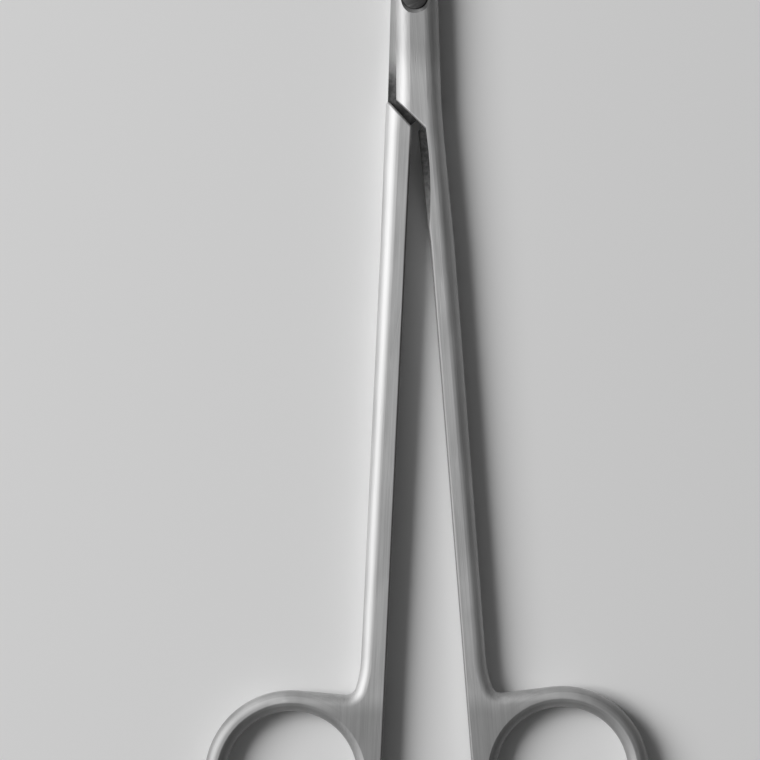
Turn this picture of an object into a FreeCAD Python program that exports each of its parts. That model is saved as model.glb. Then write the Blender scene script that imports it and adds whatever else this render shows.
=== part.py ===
import FreeCAD, Part
import math
import os

# Straight Kelly scissors of stainless steel, 16 cm long, in millimetres.
# The origin lies on the pivot axis, in the underside of the joint.
# +Y points at the blade tips and +Z at the screw head.
# Each half is drawn in a frame of its own: its shank runs along -Y, the pivot axis is at
# the origin and its joint plate lies on the +Z side of the mating plane, at z = 0.

# Whole instrument
tip_reach = 34.7            # pivot axis to the tip of a blade
ring_reach = 112.45         # pivot axis to the centre of a finger ring, along the shank
ring_offset = 12.38         # pivot axis to the centre of a finger ring, across the shank
shank_splay = 1.6           # lean of a shank from the middle line when closed, degrees
rest_opening = 4.0          # opening of the halves as they lie, degrees

# Finger rings
ring_hole_radius = 9.49
ring_wire = 2.95            # width of the ring's band, seen from above
ring_stretch = 1.2          # how far the round opening is drawn out along the shank
ring_thickness = 3.4
ring_crest = 0.1            # flat left between the ring's outer and inner roundings
web_corner_radius = 1.4     # inside corner between the shank and the top of the ring
web_swell_radius = 16.0     # curve that leads the outer side of the shank into that corner
web_top_slope = 2.5         # fall of the ring's top towards that corner, degrees
web_sweep_radius = 40.0     # curve that leads the inner side of the shank into the ring
web_length = 5.0            # shank that belongs to the ring, above the top of the ring

# Shanks
shank_inner = 0.47          # inner side of a shank, beyond the pivot axis
front_width_at_joint = 3.1
front_width_at_middle = 3.4
front_width_at_ring = 3.2
rear_width_at_joint = 3.8
rear_width_at_middle = 3.65
rear_width_at_ring = 3.65
shank_middle = 36.0         # pivot axis to the station between joint and ring
shank_start = 19.5          # pivot axis to the top of the full shank
shank_inner_rounding = 0.3
shank_outer_land = 0.25     # flat left between the upper and the lower rounding outside
front_block_flare = 0.48    # inward swell of the front shank below the joint
rear_block_flare = 0.0

# Joint plates
joint_thickness = 4.4
mating_gap = 0.04           # running gap between the two plates
plate_outer = 3.38          # outer side of a plate at the pivot axis
front_plate_waist = 2.67    # outer side of the front plate at its shoulder
rear_plate_waist = 3.1
plate_waist_reach = 15.0    # pivot axis to the waist
plate_spine = 2.66          # far side of a plate at the pivot axis
plate_spine_low = 3.78      # far side of a plate at the waist
plate_top = 6.0             # pivot axis to the start of the blade
plate_round_width = 2.0     # rounding along the far side, seen from above
plate_round_height = 1.3
shoulder_high = (-3.53, -14.77)     # end of a plate, at its far side
shoulder_low = (0.15, -18.93)       # end of a plate, at its own shank
shoulder_clearance = 0.35   # between a plate's end and the other half when closed
shoulder_rounding = 0.3     # on the edge of the shank that faces a plate's end
plate_end_rounding = 0.2    # on the edge of a plate's end
relief_length = 15.0        # hollow in the plate side of a shank below the shoulder
relief_depth = 0.66
relief_run_out = 0.15       # its curve ends this far outside the shank

# Blades
blade_stations = (11.0, 18.0, 26.0, 32.0)   # pivot axis to the blade's cross-sections
blade_heights = (1.95, 1.6, 1.1, 0.65)      # thickness at each of them
tip_height = 0.4
edge_start = 2.37           # cutting edge from the middle line at the first station
tip_half_width = 0.15
spine_cover = 0.12          # spine beyond the other blade's cutting edge when closed
edge_land = 0.12            # upright flat left along the cutting edge
bevel_share = 0.34          # part of the blade's width that is ground as the cutting bevel
spine_share = 0.4           # part of the blade's width that is rounded along the spine

# Pivot screw
head_diameter = 3.6
head_height = 0.82
head_recess = 0.3           # head below the face of the front plate
head_clearance = 0.05       # around the head
head_rim = 0.6              # chamfer round the recess
slot_width = 0.6
slot_depth = 0.4
journal_diameter = 2.6
journal_clearance = 0.03    # around the journal, in the front half
thread_diameter = 2.0

# Sizes that follow
plate_face = joint_thickness / 2
plate_back = mating_gap / 2
mating_height = joint_thickness / 2
ring_outer_radius = ring_hole_radius + ring_wire
shank_end = ring_reach - ring_outer_radius - web_length
front_turn = shank_splay + rest_opening / 2
bench = ring_reach / 2      # larger than anything that the cutting shapes cross
touch = 0.01                # edges closer to a place than this lie on it
up = FreeCAD.Vector(0, 0, 1)
along = FreeCAD.Vector(0, 1, 0)
pivot = FreeCAD.Vector(0, 0, 0)


def at(x, y, z=0.0):
    return FreeCAD.Vector(x, y, z)


def turned(point, degrees):
    """A plan point turned about the pivot axis."""
    angle = math.radians(degrees)
    x = point[0] * math.cos(angle) - point[1] * math.sin(angle)
    y = point[0] * math.sin(angle) + point[1] * math.cos(angle)
    return x, y


def seen_by_mate(point):
    """A plan point of one half, in the frame of the other half, when closed."""
    x, y = turned(point, shank_splay)
    return turned((-x, y), -shank_splay)


def line(start, end):
    return Part.LineSegment(start, end).toShape()


def rounding(wall, face):
    """Arc in a cross-section, from a point of the wall to a point of the face, flush with the face."""
    dx = face.x - wall.x
    dz = face.z - wall.z
    radius = (dx * dx + dz * dz) / (2 * abs(dz))
    centre = at(face.x, face.y, face.z - math.copysign(radius, dz))
    middle = (wall + face) * 0.5 - centre
    middle.normalize()
    return Part.Arc(wall, centre + middle * radius, face).toShape()


def shank_section(y, left, right, thickness, left_round, right_round):
    """Full cross-section of a shank, with its four corners rounded."""
    top = thickness / 2
    corners = []
    for side in (1, -1):
        wall_left = at(left, y, side * (top - left_round))
        face_left = at(left + left_round, y, side * top)
        face_right = at(right - right_round, y, side * top)
        wall_right = at(right, y, side * (top - right_round))
        corners.append((wall_left, face_left, face_right, wall_right))
    upper, lower = corners
    return Part.Wire([
        line(lower[0], upper[0]),
        rounding(upper[0], upper[1]),
        line(upper[1], upper[2]),
        rounding(upper[3], upper[2]),
        line(upper[3], lower[3]),
        rounding(lower[3], lower[2]),
        line(lower[2], lower[1]),
        rounding(lower[0], lower[1]),
    ])


def layer_section(y, left, right, back, face, left_round, right_round):
    """Cross-section with a flat back and rounded corners on the face side."""
    side = math.copysign(1.0, face - back)
    wall_left = at(left, y, face - side * left_round[1])
    face_left = at(left + left_round[0], y, face)
    face_right = at(right - right_round, y, face)
    wall_right = at(right, y, face - side * right_round)
    back_left = at(left, y, back)
    back_right = at(right, y, back)
    return Part.Wire([
        line(back_left, wall_left),
        rounding(wall_left, face_left),
        line(face_left, face_right),
        rounding(wall_right, face_right),
        line(wall_right, back_right),
        line(back_right, back_left),
    ])


def blade_section(y, left, right, height):
    """Cross-section of a blade: rounded spine on the left, ground bevel on the right."""
    width = right - left
    back_left = at(left, y, plate_back)
    wall_left = at(left, y, plate_back + height * spine_share)
    face_left = at(left + width * spine_share, y, plate_back + height)
    face_right = at(right - width * bevel_share, y, plate_back + height)
    wall_right = at(right, y, plate_back + edge_land)
    back_right = at(right, y, plate_back)
    return Part.Wire([
        line(back_left, wall_left),
        rounding(wall_left, face_left),
        line(face_left, face_right),
        line(face_right, wall_right),
        line(wall_right, back_right),
        line(back_right, back_left),
    ])


def outer_round(thickness):
    return (thickness - shank_outer_land) / 2


def shank_thickness(reach):
    """Thickness of a shank at a distance from the pivot axis."""
    share = (reach - shank_start) / (shank_end - shank_start)
    return joint_thickness + share * (ring_thickness - joint_thickness)


def towards(start, end):
    """Direction from one point to another."""
    direction = end - start
    direction.normalize()
    return direction


def between(first, second):
    """Direction half-way between two others."""
    return towards(pivot, first + second)


def arc_round(centre, radius, start, end):
    """Arc from one point to another round a centre, the short way."""
    middle = between(towards(centre, start), towards(centre, end))
    return Part.Arc(start, centre + middle * radius, end).toShape()


def web_corner(outer):
    """From the shank's outer side, round the corner, to the point where the line leaves the ring."""
    slope = math.radians(web_top_slope)
    falling = at(-math.cos(slope), -math.sin(slope))
    rising = at(-math.sin(slope), math.cos(slope))
    leaves_ring = at(ring_offset, -ring_reach) + rising * ring_outer_radius
    swell = at(outer + web_swell_radius, -shank_end)
    # The corner's centre lies its own radius above the line, and its arc touches the swell.
    to_line = leaves_ring + rising * web_corner_radius - swell
    down_line = to_line.dot(falling)
    spare = web_swell_radius - web_corner_radius
    reach = math.sqrt(down_line ** 2 + spare ** 2 - to_line.dot(to_line)) - down_line
    corner = swell + to_line + falling * reach
    corner_starts = swell + towards(swell, corner) * web_swell_radius
    corner_ends = corner - rising * web_corner_radius
    edges = [
        arc_round(swell, web_swell_radius, at(outer, -shank_end), corner_starts),
        arc_round(corner, web_corner_radius, corner_starts, corner_ends),
        line(corner_ends, leaves_ring),
    ]
    return edges, leaves_ring


def web_sweep(inner, low_centre):
    """From the point where the sweep meets the ring, up along the shank's inner side."""
    # The sweep touches the shank's inner side and, from inside, the lower round of the ring.
    from_wall = ring_offset - inner
    rise = math.sqrt((from_wall - ring_outer_radius) * (2 * web_sweep_radius - ring_outer_radius - from_wall))
    sweep = at(inner + web_sweep_radius, low_centre.y + rise)
    meets_ring = low_centre + towards(sweep, low_centre) * ring_outer_radius
    wall_starts = at(inner, sweep.y)
    edges = [
        arc_round(sweep, web_sweep_radius, meets_ring, wall_starts),
        line(wall_starts, at(inner, -shank_end)),
    ]
    return edges, meets_ring


def ring_outline(outer):
    """Plan of a finger ring, its web and the end of the shank; outer is the shank's outer side."""
    inner = -shank_inner
    centre = at(ring_offset, -ring_reach)
    low_centre = at(ring_offset, -ring_reach - ring_stretch)
    side = at(ring_outer_radius, 0)
    corner, leaves_ring = web_corner(outer)
    sweep, meets_ring = web_sweep(inner, low_centre)
    lowest = low_centre - at(0, ring_outer_radius)
    ring = [
        arc_round(centre, ring_outer_radius, leaves_ring, centre + side),
        line(centre + side, low_centre + side),
        Part.Arc(low_centre + side, lowest, meets_ring).toShape(),
    ]
    return Part.Wire([line(at(inner, -shank_end), at(outer, -shank_end))] + corner + ring + sweep)


def ring_opening():
    """Room for a finger: narrowest at mid-height, where the inside of the ring bulges."""
    half = ring_thickness / 2
    centre = at(ring_offset, -ring_reach)
    waist = centre + at(ring_hole_radius, 0)
    mouth = ring_hole_radius + ring_wire - outer_round(ring_thickness) - ring_crest
    upper = centre + at(mouth, 0, half)
    lower = centre + at(mouth, 0, -half)
    axis_upper = centre + up * half
    axis_lower = centre - up * half
    section = Part.Face(Part.Wire([
        line(axis_lower, lower),
        Part.Arc(lower, waist, upper).toShape(),
        line(upper, axis_upper),
        line(axis_upper, axis_lower),
    ]))
    stretch = along * -ring_stretch
    top = section.revolve(centre, up, 180)
    right = section.extrude(stretch)
    left = right.mirror(centre, at(1, 0))
    low = top.mirror(centre, along)
    low.translate(stretch)
    return top.fuse([left, right, low]).removeSplitter()


def prism(wire, low, high):
    """A plan outline made solid between two heights."""
    face = Part.Face(wire)
    face.translate(up * low)
    return face.extrude(up * (high - low))


def edge_radii(edge):
    """Radius of the rounding at the start and at the end of an edge of the ring's disc."""
    full = outer_round(ring_thickness)
    arc = edge.Curve.TypeId == "Part::GeomCircle"
    if edge.BoundBox.XMax < -shank_inner + touch:
        return shank_inner_rounding, shank_inner_rounding
    if arc and abs(edge.Curve.Radius - web_sweep_radius) < touch:
        return full, shank_inner_rounding
    return full, full


def rounded(disc):
    """The disc with its level edges rounded: fully outside, slightly along the web's inner side."""
    roundings = []
    for number, edge in enumerate(disc.Edges, 1):
        box = edge.BoundBox
        level = box.ZLength < touch
        on_cut = box.YMin > -shank_end - touch
        if level and not on_cut:
            roundings.append((number,) + edge_radii(edge))
    document = FreeCAD.newDocument()
    sharp = document.addObject("Part::Feature", "sharp")
    sharp.Shape = disc
    fillet = document.addObject("Part::Fillet", "fillet")
    fillet.Base = sharp
    fillet.Edges = roundings
    document.recompute()
    result = fillet.Shape.copy()
    FreeCAD.closeDocument(document.Name)
    return result


def ring_body(width):
    """Finger ring with its web and the end of the shank."""
    half = ring_thickness / 2
    disc = prism(ring_outline(width - shank_inner), -half, half)
    return rounded(disc).cut(ring_opening())


def shank_body(width_joint, width_middle, width_ring, flare):
    """Tapering bar from the joint to the ring, half-round outside and flat inside."""
    stations = [
        (shank_start, width_joint, flare),
        (shank_middle, width_middle, 0.0),
        (shank_end, width_ring, 0.0),
    ]
    sections = []
    for reach, width, swell in stations:
        thickness = shank_thickness(reach)
        left = -shank_inner - swell
        right = width - shank_inner
        sections.append(shank_section(
            -reach, left, right, thickness, shank_inner_rounding, outer_round(thickness)))
    return Part.makeLoft(sections, True, True)


def spine_round():
    return plate_round_width, plate_round_height


def plate_body(width_joint, waist):
    """Joint plate, from the top of the shank to the start of the blade."""
    slope = (plate_spine_low - plate_spine) / plate_waist_reach
    outer = outer_round(joint_thickness)
    stations = [
        (-shank_start, width_joint - shank_inner),
        (-plate_waist_reach, waist),
        (0.0, plate_outer),
        (plate_top, plate_outer),
    ]
    sections = []
    for y, right in stations:
        left = -plate_spine + slope * y
        sections.append(layer_section(y, left, right, plate_back, plate_face, spine_round(), outer))
    return Part.makeLoft(sections, True, True)


def block_body(width_joint, flare):
    """Back of the shank that runs up to the other half's plate."""
    corner = (shank_inner_rounding, shank_inner_rounding)
    section = layer_section(
        -shank_start, -shank_inner - flare, width_joint - shank_inner, plate_back, -plate_face,
        corner, outer_round(joint_thickness))
    return Part.Face(section).extrude(along * (shank_start - plate_waist_reach / 2))


def edge_at(y):
    """Distance of the cutting edge from the middle line of the closed blades."""
    first = blade_stations[0]
    share = (y - first) / (tip_reach - first)
    return edge_start + share * (tip_half_width - edge_start)


def blade_body():
    """Slender pointed blade: flat back, rounded spine, ground cutting bevel."""
    slope = (plate_spine_low - plate_spine) / plate_waist_reach
    outer = outer_round(joint_thickness)
    base = layer_section(
        plate_top, -plate_spine + slope * plate_top, plate_outer, plate_back, plate_face,
        spine_round(), outer)
    sections = [base]
    lean = math.tan(math.radians(shank_splay))
    for y, height in zip(blade_stations + (tip_reach,), blade_heights + (tip_height,)):
        middle = lean * y
        half = edge_at(y)
        sections.append(blade_section(y, middle - half - spine_cover, middle + half, height))
    return Part.makeLoft(sections, True, False)


def plate_end_cutter():
    """What is cut away beside a plate's end and along the hollow below it, on the plate side."""
    high = at(*shoulder_high)
    low = at(*shoulder_low)
    far = high + (high - low)
    end_y = low.y - relief_length
    end = at(-shank_inner - relief_run_out, end_y)
    crest = at(-shank_inner + relief_depth, low.y - relief_length / 2)
    outline = Part.Wire([
        line(far, low),
        Part.Arc(low, crest, end).toShape(),
        line(end, at(far.x, end.y)),
        line(at(far.x, end.y), far),
    ])
    return prism(outline, -plate_back, bench)


def block_end_cutter():
    """Room for the other half's plate, above the shoulder on the back of the shank."""
    high = at(*seen_by_mate(shoulder_high))
    low = at(*seen_by_mate(shoulder_low))
    direction = high - low
    direction.normalize()
    away = direction.cross(up) * shoulder_clearance
    start = low + away - direction * bench / 2
    end = high + away + direction * bench / 2
    outline = Part.makePolygon([start, end, at(end.x, bench), at(start.x, bench), start])
    return prism(outline, -bench, plate_back)


def cut_edges(solid, height, cutter):
    """Level edges at one height, where a cutting shape has passed."""
    found = []
    for edge in solid.Edges:
        box = edge.BoundBox
        level = abs(box.ZMin - height) < touch and abs(box.ZMax - height) < touch
        middle = edge.valueAt((edge.FirstParameter + edge.LastParameter) / 2)
        if level and Part.Vertex(middle).distToShape(cutter)[0] < touch:
            found.append(edge)
    return found


def shoulder_block(width_joint, flare, end_cutter):
    """The block cut off along the other half's plate, with its edge rounded."""
    room = block_end_cutter()
    block = block_body(width_joint, flare).cut(end_cutter).cut(room)
    return block.makeFillet(shoulder_rounding, cut_edges(block, -plate_face, room))


def ended_plate(width_joint, waist, end_cutter):
    """The plate cut off at its end, with the edge of that end rounded."""
    plate = plate_body(width_joint, waist).cut(end_cutter)
    low_y = shoulder_low[1]
    end_edges = []
    for edge in cut_edges(plate, plate_face, end_cutter):
        if edge.BoundBox.YMax > low_y + touch:
            end_edges.append(edge)
    return plate.makeFillet(plate_end_rounding, end_edges)


def half_body(width_joint, width_middle, width_ring, waist, flare):
    """One half without its pivot hole, in its own frame."""
    end_cutter = plate_end_cutter()
    shank = shank_body(width_joint, width_middle, width_ring, flare).cut(end_cutter)
    plate = ended_plate(width_joint, waist, end_cutter)
    block = shoulder_block(width_joint, flare, end_cutter)
    solid = ring_body(width_ring).fuse([shank, plate, block, blade_body()])
    return solid.removeSplitter()


def cylinder(radius, low, high):
    return Part.makeCylinder(radius, high - low, at(0, 0, low))


def front_half():
    """The half under the screw head, in the frame of the instrument."""
    solid = half_body(
        front_width_at_joint, front_width_at_middle, front_width_at_ring,
        front_plate_waist, front_block_flare)
    seat = plate_face - head_recess - head_height - mating_gap / 2
    recess = head_diameter / 2 + head_clearance
    solid = solid.cut(cylinder(journal_diameter / 2 + journal_clearance, -bench, bench))
    solid = solid.cut(cylinder(recess, seat, bench))
    rim = Part.makeCone(recess, recess + head_rim, head_rim, at(0, 0, plate_face - head_rim))
    solid = solid.cut(rim)
    solid.rotate(pivot, up, front_turn)
    solid.translate(up * mating_height)
    return solid


def rear_half():
    """The half that holds the screw's thread, turned over."""
    solid = half_body(
        rear_width_at_joint, rear_width_at_middle, rear_width_at_ring,
        rear_plate_waist, rear_block_flare)
    solid = solid.cut(cylinder(thread_diameter / 2, -bench, bench))
    solid.rotate(pivot, up, front_turn)
    solid.rotate(pivot, along, 180)
    solid.translate(up * mating_height)
    return solid


def pivot_screw():
    """Slotted screw: head, journal for the front half, thread ground flush with the underside."""
    head_top = joint_thickness - head_recess
    head_low = head_top - head_height
    step = mating_height - plate_back
    screw = cylinder(head_diameter / 2, head_low, head_top)
    screw = screw.fuse(cylinder(journal_diameter / 2, step, head_low))
    screw = screw.fuse(cylinder(thread_diameter / 2, 0.0, step))
    slot = Part.makeBox(head_diameter * 2, slot_width, slot_depth * 2)
    slot.translate(at(-head_diameter, -slot_width / 2, head_top - slot_depth))
    return screw.cut(slot).removeSplitter()


pieces = {
    "front_half": front_half(),
    "rear_half": rear_half(),
    "pivot_screw": pivot_screw(),
}
for name, solid in pieces.items():
    solid.exportStep("parts/" + name + ".step")
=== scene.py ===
import math

import bmesh
import bpy
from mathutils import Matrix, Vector


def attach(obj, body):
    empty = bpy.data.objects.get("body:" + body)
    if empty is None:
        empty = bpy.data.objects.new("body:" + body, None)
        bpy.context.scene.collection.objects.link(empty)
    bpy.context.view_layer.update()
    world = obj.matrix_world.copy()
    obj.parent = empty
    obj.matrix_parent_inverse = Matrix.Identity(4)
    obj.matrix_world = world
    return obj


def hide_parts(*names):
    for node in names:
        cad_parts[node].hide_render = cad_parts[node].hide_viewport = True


bl_info = {
    "name": "Kelly Scissors",
    "version": (1, 0, 0),
    "blender": (4, 5, 0),
    "location": "View3D > Sidebar > Scissors",
    "description": "Satin steel scissors on a pale table, seen from straight above",
    "category": "Add Mesh",
}

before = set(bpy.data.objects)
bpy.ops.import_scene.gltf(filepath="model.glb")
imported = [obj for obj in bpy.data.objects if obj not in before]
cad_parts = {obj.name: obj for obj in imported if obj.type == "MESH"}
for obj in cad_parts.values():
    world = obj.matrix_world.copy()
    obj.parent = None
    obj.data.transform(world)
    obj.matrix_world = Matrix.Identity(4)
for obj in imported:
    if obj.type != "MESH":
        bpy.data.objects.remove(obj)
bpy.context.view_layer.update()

MM = 0.001
RING_SIDE = {"front_half": 1.0, "rear_half": -1.0}
SHANK_LEAN = math.radians(3.6)      # lean of each shank from the middle line, as the scissors lie
MATING_HEIGHT = 2.2 * MM            # level of the faces between the halves
MATING_SLACK = (0.03 * MM, 0.06 * MM)       # further off than this is not on that level
SLOT_TOP = (3.85 * MM, 4.0 * MM)    # the screw gets painted shade below these levels, in its slot
SHARP_ANGLE = math.radians(35.0)    # edges sharper than this are rounded and shaded sharp
WELD_DISTANCE = 0.001 * MM

# Places along the scissors, from the pivot axis
JOINT_TONE = (-12.0 * MM, -6.5 * MM)        # the joint's painted shade starts here
GAP_SHADOW_START = (-13.0 * MM, -7.0 * MM)     # the faces between the halves turn dark with painted shadow here
SHANK_START = (-23.0 * MM, -20.0 * MM)      # the joint becomes the shanks
GAP_SHADOW_FADE = (-36.0 * MM, -22.0 * MM)     # the painted shadow on the dark faces grows lighter down to here
BRIGHT_SHANK = (-62.0 * MM, -42.0 * MM)     # the shanks are brightest with painted light above this
RING_START = (-103.0 * MM, -99.5 * MM)      # the shanks become the rings

# The front half's finger ring; the rear half's is its mirror image
RING_CENTRE = (19.42 * MM, -111.45 * MM)
RING_RADIUS = 10.0 * MM
ROUND_LINES = (-9.0 * MM, -4.0 * MM)        # beside its centre, where lines start to run round it

# The recess round the screw's head
RIM_RADIUS = (2.4 * MM, 2.7 * MM)
RIM_SIDE = (0.4 * MM, 1.2 * MM)             # beside the pivot axis, where its painted shade starts

# Lines and spots in the finish, in repeats per metre across and along the shank
STREAKS = (5200.0, 50.0)
SATIN = (2600.0, 1500.0)
CLOUDS = (420.0, 110.0)
HAIRLINES = (1100.0, 14.0)
HAIRLINE_SPREAD = (420.0, 140.0)
HAIRLINE_LEANS = ((0.1, 0.0), (-0.16, 7.0))     # lean from the shank in radians, pattern number
LATHE_RINGS = 2600.0                            # on the screw

# How strongly the parts of the finish and the painted light and shade show, as shares
CLOUD_TONES = (0.86, 1.08)          # darkest and brightest places of the steel
UPPER_SHANK_GAIN = 0.04             # how much brighter painted light makes the top of the shanks
RIM_SHADE = 0.75                    # how much darker the painted shade makes the rim's side that faces the lamp
GAP_SHADOW_LEFT = 0.42                 # painted shadow left at the lower end of the dark faces
GAP_SHADOW_PATCHES = 0.18              # how much of the painted shadow comes and goes in patches
HAIRLINE_WIDTH = (0.004, 0.014)     # distance from a hairline's middle to its edges, in noise
HAIRLINE_PLACES = (0.54, 0.64)      # noise above which hairlines are seen
SCREW_TONES = (1.1, 0.75)           # clean and grimy places of the screw
SLOT_SHADE = 0.3                     # painted shade in the screw's slot
SCREW_ROUGHNESS = 0.36
TABLE_ROUGHNESS = 0.9

# The picture and its lamp, in metres
PICTURE_MIDDLE = (-5.80 * MM, -54.77 * MM, 4.0 * MM)
PICTURE_TURN = math.radians(-0.91)
KEY_OFFSET = (-1.375, 0.4, 1.075)           # key lamp from the middle of the picture
ROOM_BRIGHT_SIDE = (-0.75, 0.2, 0.6)        # direction of the brighter part of the room
ROOM_SPREAD = (-0.2, 1.0)                   # cosines from that direction, at the dim and bright ends
ROOM_LIGHT = (0.4, 1.6)                     # light at these ends, as shares of the room's brightness
SENSOR_WIDTH = 36.0                         # in millimetres, as Blender takes it
NEAREST_SEEN = 0.01
TABLE_LEVEL = -0.02 * MM                    # just under the scissors


# Sizes, colours and light

class SteelSettings(bpy.types.PropertyGroup):
    """Finish of the two forged halves and of the screw, with the light, shade and reflection painted on
    them.
    """

    colour: bpy.props.FloatVectorProperty(
        name="Steel", description="Colour of the ground stainless steel",
        subtype="COLOR", size=3, min=0.0, max=1.0, default=(0.61, 0.61, 0.61))
    # the screw's dark colour is a painted reflection of a dark room
    screw_colour: bpy.props.FloatVectorProperty(
        name="Screw", description="Colour of the duller screw",
        subtype="COLOR", size=3, min=0.0, max=1.0, default=(0.20, 0.20, 0.20))
    # painted shade on the sides between the shanks, dimming the lamp's highlight there
    inner_shade_colour: bpy.props.FloatVectorProperty(
        name="Inner Sides", description="Colour of the duller sides between the shanks",
        subtype="COLOR", size=3, min=0.0, max=1.0, default=(0.345, 0.345, 0.345))
    # painted shade that darkens joint, blades and rings below the shanks, for light that falls off there
    joint_shade: bpy.props.FloatProperty(
        name="Joint Shade", description="How much darker joint and blades are than the shanks",
        subtype="FACTOR", min=0.0, max=1.0, default=0.14)
    ring_shade: bpy.props.FloatProperty(
        name="Ring Shade", description="How much darker the rings are than the shanks",
        subtype="FACTOR", min=0.0, max=1.0, default=0.28)
    roughness: bpy.props.FloatProperty(
        name="Roughness", description="Mean roughness of the satin finish",
        subtype="FACTOR", min=0.0, max=1.0, default=0.68)
    grain_width: bpy.props.FloatProperty(
        name="Grain Width", description="Distance between the finest grinding lines",
        unit="LENGTH", min=0.00001, max=0.001, default=0.00009)
    grain_length: bpy.props.FloatProperty(
        name="Grain Length", description="Usual length of a grinding line",
        unit="LENGTH", min=0.0001, max=0.05, default=0.004)
    screw_edge: bpy.props.FloatProperty(
        name="Screw Edge", description="Rounding on the edges of the screw",
        unit="LENGTH", min=0.0, max=0.001, default=0.00006, precision=6)
    # painted shadow on the faces between the halves
    gap_shadow_colour: bpy.props.FloatVectorProperty(
        name="Residue", description="Colour of the unpolished faces between the halves",
        subtype="COLOR", size=3, min=0.0, max=1.0, default=(0.10, 0.10, 0.10))
    grain_depth: bpy.props.FloatProperty(
        name="Grain Depth", description="Height of the grinding lines",
        unit="LENGTH", min=0.0, max=0.0001, default=0.00001, precision=6)


class StageSettings(bpy.types.PropertyGroup):
    """Floor, light and camera."""

    floor_colour: bpy.props.FloatVectorProperty(
        name="Floor", description="Colour of the table",
        subtype="COLOR", size=3, min=0.0, max=1.0, default=(0.80, 0.80, 0.80))
    floor_size: bpy.props.FloatProperty(
        name="Floor Size", description="Side of the square table",
        unit="LENGTH", min=0.5, max=20.0, default=8.0)
    key_power: bpy.props.FloatProperty(
        name="Key Light", description="Power of the large lamp at the upper left",
        unit="POWER", min=0.0, max=500.0, default=35.0)
    key_size: bpy.props.FloatProperty(
        name="Key Size", description="Side of the square key lamp",
        unit="LENGTH", min=0.05, max=5.0, default=1.1)
    sky: bpy.props.FloatProperty(
        name="Surroundings", description="Brightness of the room",
        min=0.0, max=2.0, default=0.15)
    camera_height: bpy.props.FloatProperty(
        name="Camera Height", description="Camera above the scissors' upper side",
        unit="LENGTH", min=0.1, max=5.0, default=0.6)
    field: bpy.props.FloatProperty(
        name="Field", description="Width of the picture at the scissors",
        unit="LENGTH", min=0.01, max=1.0, default=0.10857)


# Shader maths

class Value:
    """A socket of a shader tree that adds Math nodes when it is calculated with."""

    def __init__(self, tree, socket):
        self.tree = tree
        self.socket = socket

    def _math(self, operation, *operands):
        return self.tree.node("ShaderNodeMath", {"operation": operation}, dict(enumerate(operands)))

    def __add__(self, other):
        return self._math("ADD", self, other)

    def __sub__(self, other):
        return self._math("SUBTRACT", self, other)

    def __mul__(self, other):
        return self._math("MULTIPLY", self, other)

    def __rsub__(self, other):
        return self._math("SUBTRACT", other, self)

    __radd__ = __add__
    __rmul__ = __mul__

    def distance(self, other):
        return self._math("ABSOLUTE", self - other)

    def root(self):
        return self._math("SQRT", self)

    def angle(self, across):
        """Direction of a point that is across to the side and self ahead."""
        return self._math("ARCTAN2", self, across)

    def blend(self, first, second):
        """First where this is 0, second where it is 1."""
        return (1.0 - self) * first + self * second

    def smooth(self, low, high):
        """0 below low, 1 above high, with a soft step between."""
        return self.tree.node(
            "ShaderNodeMapRange", {"interpolation_type": "SMOOTHSTEP"},
            {"Value": self, "From Min": low, "From Max": high})


class Tree:
    """A node tree that is built from Python expressions."""

    def __init__(self, tree):
        self.tree = tree
        self.tree.nodes.clear()

    def put(self, socket, value):
        if isinstance(value, Value):
            self.tree.links.new(value.socket, socket)
        else:
            socket.default_value = value

    def node(self, kind, settings, inputs, output=0):
        """A node with its settings made first and then its sockets filled."""
        made = self.tree.nodes.new(kind)
        for name, value in settings.items():
            setattr(made, name, value)
        for name, value in inputs.items():
            self.put(made.inputs[name], value)
        return Value(self, made.outputs[output])

    def show(self, kind, shader):
        """Connects shader to a new output node of this kind."""
        output = self.tree.nodes.new(kind)
        self.put(output.inputs["Surface"], shader)


class Finish(Tree):
    """A material on Object coordinates."""

    def __init__(self, name):
        self.material = bpy.data.materials.new(name)
        self.material.use_nodes = True
        super().__init__(self.material.node_tree)

    def surface(self, **inputs):
        """The material, with a shader that has these inputs."""
        named = {name.replace("_", " "): value for name, value in inputs.items()}
        self.show("ShaderNodeOutputMaterial", self.node("ShaderNodeBsdfPrincipled", {}, named))
        return self.material

    def place(self, turn=0.0, across=1.0, along=1.0):
        """Object coordinates, turned about the pivot axis and then stretched."""
        coordinates = self.node("ShaderNodeTexCoord", {}, {}, "Object")
        turned = self.node(
            "ShaderNodeMapping", {"vector_type": "POINT"},
            {"Vector": coordinates, "Rotation": (0.0, 0.0, turn)})
        return self.node(
            "ShaderNodeMapping", {"vector_type": "POINT"},
            {"Vector": turned, "Scale": (across, along, across)})

    def along(self, axis, kind="Object"):
        """Object coordinate, or direction of the surface, along one axis: 0, 1 or 2."""
        coordinates = self.node("ShaderNodeTexCoord", {}, {}, kind)
        return self.node("ShaderNodeSeparateXYZ", {}, {"Vector": coordinates}, axis)

    def noise(self, place, detail, scale=1.0):
        return self.node(
            "ShaderNodeTexNoise", {"noise_dimensions": "3D"},
            {"Vector": place, "Scale": scale, "Detail": detail})

    def mix(self, factor, first, second):
        """Colour that changes from first to second with factor."""
        return self.node("ShaderNodeMix", {"data_type": "RGBA"}, {0: factor, 6: first, 7: second}, 2)

    def scaled(self, colour, factor):
        return self.node("ShaderNodeVectorMath", {"operation": "SCALE"}, {0: colour, "Scale": factor})

    def bump(self, height, distance):
        return self.node("ShaderNodeBump", {}, {"Height": height, "Distance": distance, "Strength": 1.0})


def opaque(colour, factor=1.0):
    return (colour[0] * factor, colour[1] * factor, colour[2] * factor, 1.0)


# Steel

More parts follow.
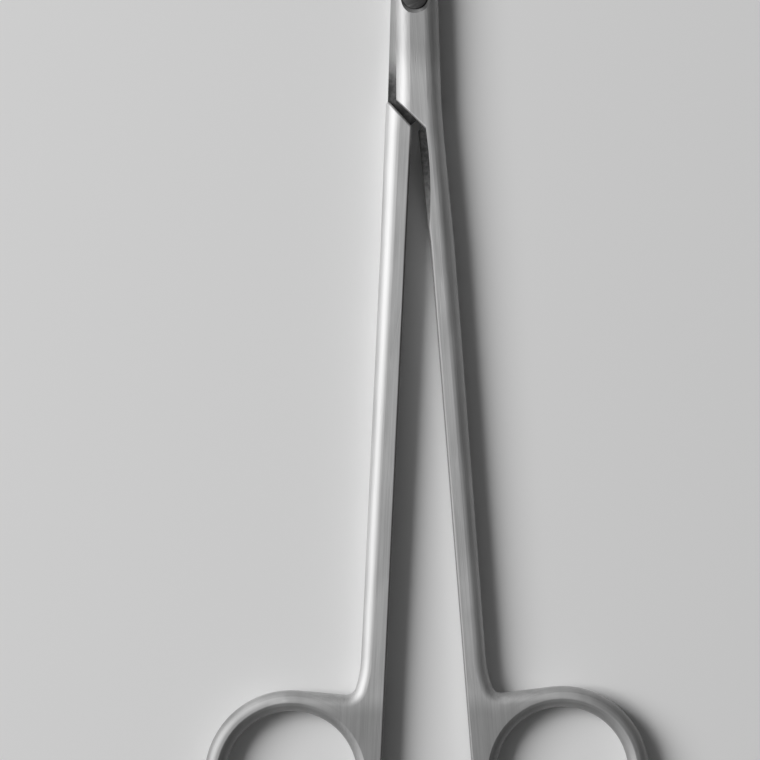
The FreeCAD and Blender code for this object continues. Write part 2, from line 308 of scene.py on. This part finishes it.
def ground_steel(name, settings, side):
    """Satin stainless steel, ground along the shank and round the ring, with faint handling marks and
    painted light and shade along the scissors, on the inner sides, on the rim and between the halves.
    """
    finish = Finish(name)
    turn = -side * SHANK_LEAN
    on_ring = (finish.along(0) * side - RING_CENTRE[0]).smooth(*ROUND_LINES)
    lines = ground(finish, side, on_ring, 1.0 / settings.grain_width, 1.0 / settings.grain_length)
    streaks = ground(finish, side, on_ring, *STREAKS)
    satin = finish.noise(finish.place(turn, *SATIN), detail=3.0)
    clouds = finish.noise(finish.place(turn, *CLOUDS), detail=3.0)
    scratches = handling_marks(finish, turn) * (1.0 - on_ring)
    tone = clouds.smooth(0.3, 0.7) * 0.5 + streaks.smooth(0.35, 0.65) * 0.5
    polished = finish.mix(tone, *(opaque(settings.colour, share) for share in CLOUD_TONES))
    # painted light and shade along the scissors, and painted shade on the rim of the screw's recess
    shade = brightness(finish, settings) * (1.0 - rim_painted_shade(finish) * RIM_SHADE)
    outer = finish.scaled(polished, shade)
    # painted shade on the inner sides of the shanks
    shaded_faces = finish.mix(inner_side_shade(finish, side, on_ring), outer, opaque(settings.inner_shade_colour))
    # painted shadow on the faces between the halves, which also makes them rougher
    gap_shade = painted_gap_shadow(finish)
    height = lines * 0.5 + satin * 0.3 + streaks * 0.5 - scratches * 0.5
    return finish.surface(
        Base_Color=finish.mix(gap_shade, shaded_faces, opaque(settings.gap_shadow_colour)),
        Metallic=1.0,
        Roughness=(streaks - 0.5) * 0.16 + (clouds - 0.5) * 0.10 + gap_shade * 0.15 + settings.roughness,
        Normal=finish.bump(height, settings.grain_depth),
    )


def ground(finish, side, on_ring, across, along):
    """Grinding lines that run down the shank, and round the ring's centre on the ring."""
    straight = finish.noise(finish.place(-side * SHANK_LEAN, across, along), detail=3.0)
    outward = finish.along(0) * side - RING_CENTRE[0]
    upward = finish.along(1) - RING_CENTRE[1]
    radius = (outward * outward + upward * upward).root()
    run = upward.angle(outward) * (RING_RADIUS * along)
    depth = finish.along(2) * across
    place = finish.node("ShaderNodeCombineXYZ", {}, {0: radius * across, 1: run, 2: depth})
    return on_ring.blend(straight, finish.noise(place, detail=3.0))


def brightness(finish, settings):
    """Painted light and shade along the scissors: brightest at the top of the shanks, painted shade on
    joint and rings.
    """
    ahead = finish.along(1)
    joint = ahead.smooth(*JOINT_TONE)
    ring = 1.0 - ahead.smooth(*RING_START)
    upper_shank = ahead.smooth(*BRIGHT_SHANK) * (1.0 - joint)
    return 1.0 - joint * settings.joint_shade - ring * settings.ring_shade + upper_shank * UPPER_SHANK_GAIN


def rim_painted_shade(finish):
    """1 where shade is painted on the rim round the screw's head, on its side that faces the lamp."""
    across = finish.along(0)
    ahead = finish.along(1)
    radius = (across * across + ahead * ahead).root()
    facing = (finish.along(0, "Normal") * -1.0).smooth(0.15, 0.5)
    return (1.0 - radius.smooth(*RIM_RADIUS)) * facing * across.smooth(*RIM_SIDE)


def inner_side_shade(finish, side, on_ring):
    """1 on the side of a shank that looks at the other shank, where shade is painted over the lamp's
    highlight.
    """
    facing = (finish.along(0, "Normal") * -side).smooth(0.1, 0.4)
    on_shank = 1.0 - finish.along(1).smooth(*SHANK_START)
    return facing * on_shank * (1.0 - on_ring)


def handling_marks(finish, turn):
    """1 in a few straight hairlines that run mostly along the shank."""
    marks = 0.0
    for lean, number in HAIRLINE_LEANS:
        noise = finish.node(
            "ShaderNodeTexNoise", {"noise_dimensions": "4D"},
            {"Vector": finish.place(turn + lean, *HAIRLINES), "W": number, "Scale": 1.0, "Detail": 0.0})
        marks = 1.0 - noise.distance(0.5).smooth(*HAIRLINE_WIDTH) + marks
    rare = finish.noise(finish.place(turn, *HAIRLINE_SPREAD), detail=1.0).smooth(*HAIRLINE_PLACES)
    return marks * rare


def painted_gap_shadow(finish):
    """Painted shadow: 1 on the faces that meet the other half below the joint, less further down, 0
    elsewhere.
    """
    on_level = 1.0 - finish.along(2).distance(MATING_HEIGHT).smooth(*MATING_SLACK)
    below_joint = 1.0 - finish.along(1).smooth(*GAP_SHADOW_START)
    fading = finish.along(1).smooth(*GAP_SHADOW_FADE).blend(GAP_SHADOW_LEFT, 1.0)
    spots = finish.noise(finish.place(), detail=4.0, scale=1600.0)
    patchy = spots.smooth(0.3, 0.7).blend(1.0 - GAP_SHADOW_PATCHES, 1.0)
    return on_level * below_joint * fading * patchy


def turned_steel(name, settings):
    """Steel of the screw, darkened as a painted reflection of a dark room, with fine rings from the lathe,
    patches of grime and painted shade in its slot.
    """
    finish = Finish(name)
    rings = finish.node(
        "ShaderNodeTexWave", {"wave_type": "RINGS", "rings_direction": "Z"},
        {"Vector": finish.place(), "Scale": LATHE_RINGS, "Distortion": 1.5, "Detail Scale": 600.0})
    grime = finish.noise(finish.place(), detail=4.0, scale=900.0)
    worn = finish.mix(
        grime.smooth(0.35, 0.7), *(opaque(settings.screw_colour, share) for share in SCREW_TONES))
    # painted shade in the screw's slot, which is also rougher
    in_slot = 1.0 - finish.along(2).smooth(*SLOT_TOP)
    return finish.surface(
        Base_Color=finish.mix(in_slot, worn, opaque(settings.screw_colour, SLOT_SHADE)),
        Metallic=1.0,
        Roughness=grime * 0.2 + in_slot * 0.2 + SCREW_ROUGHNESS,
        Normal=finish.bump(rings, settings.grain_depth * 0.25),
    )


def clothe(mesh, material):
    """Gives a mesh this one material on every face."""
    mesh.materials.clear()
    mesh.materials.append(material)
    for face in mesh.polygons:
        face.material_index = 0


def softened_copy(node, material, width):
    """Visual copy of a CAD node with its sharp edges slightly rounded."""
    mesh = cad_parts[node].data.copy()
    mesh.name = node + "_visual"
    welded = bmesh.new()
    welded.from_mesh(mesh)
    bmesh.ops.remove_doubles(welded, verts=welded.verts, dist=WELD_DISTANCE)
    welded.to_mesh(mesh)
    welded.free()
    clothe(mesh, material)
    mesh.shade_smooth()
    mesh.set_sharp_from_angle(angle=SHARP_ANGLE)
    piece = bpy.data.objects.new(node + "_visual", mesh)
    bpy.context.scene.collection.objects.link(piece)
    bevel = piece.modifiers.new("edges", "BEVEL")
    bevel.width = width
    bevel.segments = 2
    bevel.limit_method = "ANGLE"
    bevel.angle_limit = SHARP_ANGLE
    bevel.harden_normals = True
    return piece


class SCISSORS_OT_halves(bpy.types.Operator):
    """Grind both halves along their shanks and paint light and shade on them"""

    bl_idname = "scissors.halves"
    bl_label = "Finish Halves"

    def execute(self, context):
        settings = context.scene.scissors_steel
        for node, side in RING_SIDE.items():
            clothe(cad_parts[node].data, ground_steel(node + "_steel", settings, side))
        return {"FINISHED"}


class SCISSORS_OT_screw(bpy.types.Operator):
    """Turn the pivot screw from steel darkened as a painted reflection of a dark room"""

    bl_idname = "scissors.screw"
    bl_label = "Finish Screw"

    def execute(self, context):
        settings = context.scene.scissors_steel
        steel = turned_steel("screw_steel", settings)
        screw = softened_copy("pivot_screw", steel, settings.screw_edge)
        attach(screw, "rear")
        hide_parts("pivot_screw")
        return {"FINISHED"}


# Floor, light and camera

def table_top(settings):
    """Pale square floor under the scissors."""
    half = settings.floor_size / 2
    mesh = bpy.data.meshes.new("table")
    corners = [(-half, -half), (half, -half), (half, half), (-half, half)]
    mesh.from_pydata([(x, y, TABLE_LEVEL) for x, y in corners], [], [(0, 1, 2, 3)])
    clothe(mesh, Finish("table").surface(
        Base_Color=opaque(settings.floor_colour), Roughness=TABLE_ROUGHNESS))
    table = bpy.data.objects.new("table", mesh)
    bpy.context.scene.collection.objects.link(table)


def key_lamp(settings, target):
    """Soft square lamp at the upper left, aimed at target."""
    offset = Vector(KEY_OFFSET)
    light = bpy.data.lights.new("key", "AREA")
    light.shape = "SQUARE"
    light.size = settings.key_size
    light.energy = settings.key_power
    lamp = bpy.data.objects.new("key", light)
    lamp.location = target + offset
    lamp.rotation_euler = (-offset).to_track_quat("-Z", "Y").to_euler()
    bpy.context.scene.collection.objects.link(lamp)


def surroundings(sky):
    """A plain room, brighter towards the key lamp and overhead."""
    room = bpy.data.worlds.new("room")
    room.use_nodes = True
    tree = Tree(room.node_tree)
    direction = tree.node("ShaderNodeTexCoord", {}, {}, "Generated")
    towards = tree.node(
        "ShaderNodeVectorMath", {"operation": "DOT_PRODUCT"},
        {0: direction, 1: Vector(ROOM_BRIGHT_SIDE).normalized()}, "Value")
    strength = tree.node(
        "ShaderNodeMapRange", {},
        {"Value": towards, "From Min": ROOM_SPREAD[0], "From Max": ROOM_SPREAD[1],
         "To Min": ROOM_LIGHT[0] * sky, "To Max": ROOM_LIGHT[1] * sky})
    tree.show("ShaderNodeOutputWorld", tree.node("ShaderNodeBackground", {}, {"Strength": strength}))
    bpy.context.scene.world = room


def camera_above(settings, target):
    """Camera straight above target, turned as in the picture."""
    camera = bpy.data.cameras.new("camera")
    camera.sensor_width = SENSOR_WIDTH
    camera.lens = SENSOR_WIDTH * settings.camera_height / settings.field
    camera.clip_start = NEAREST_SEEN
    made = bpy.data.objects.new("camera", camera)
    made.location = target + Vector((0.0, 0.0, settings.camera_height))
    made.rotation_euler = (0.0, 0.0, PICTURE_TURN)
    bpy.context.scene.collection.objects.link(made)
    bpy.context.scene.camera = made


class SCISSORS_OT_stage(bpy.types.Operator):
    """Lay the scissors on a pale table under soft light, with the camera above"""

    bl_idname = "scissors.stage"
    bl_label = "Set Stage"

    def execute(self, context):
        settings = context.scene.scissors_stage
        middle = Vector(PICTURE_MIDDLE)
        table_top(settings)
        surroundings(settings.sky)
        key_lamp(settings, middle)
        camera_above(settings, middle)
        context.scene.view_settings.view_transform = "Standard"
        return {"FINISHED"}


class SCISSORS_PT_panel(bpy.types.Panel):
    """Makes the scissors' finish and stage"""

    bl_label = "Kelly Scissors"
    bl_idname = "SCISSORS_PT_panel"
    bl_space_type = "VIEW_3D"
    bl_region_type = "UI"
    bl_category = "Scissors"

    def draw(self, context):
        layout = self.layout
        for operator in OPERATORS:
            layout.operator(operator.bl_idname)
        for settings in (context.scene.scissors_steel, context.scene.scissors_stage):
            for name in settings.__annotations__:
                layout.prop(settings, name)


OPERATORS = (SCISSORS_OT_halves, SCISSORS_OT_screw, SCISSORS_OT_stage)
CLASSES = (SteelSettings, StageSettings) + OPERATORS + (SCISSORS_PT_panel,)


def register():
    for cls in CLASSES:
        bpy.utils.register_class(cls)
    bpy.types.Scene.scissors_steel = bpy.props.PointerProperty(type=SteelSettings)
    bpy.types.Scene.scissors_stage = bpy.props.PointerProperty(type=StageSettings)


def unregister():
    del bpy.types.Scene.scissors_stage
    del bpy.types.Scene.scissors_steel
    for cls in reversed(CLASSES):
        bpy.utils.unregister_class(cls)


def main():
    register()
    bpy.ops.scissors.halves()
    bpy.ops.scissors.screw()
    bpy.ops.scissors.stage()


if __name__ == "__main__":
    main()
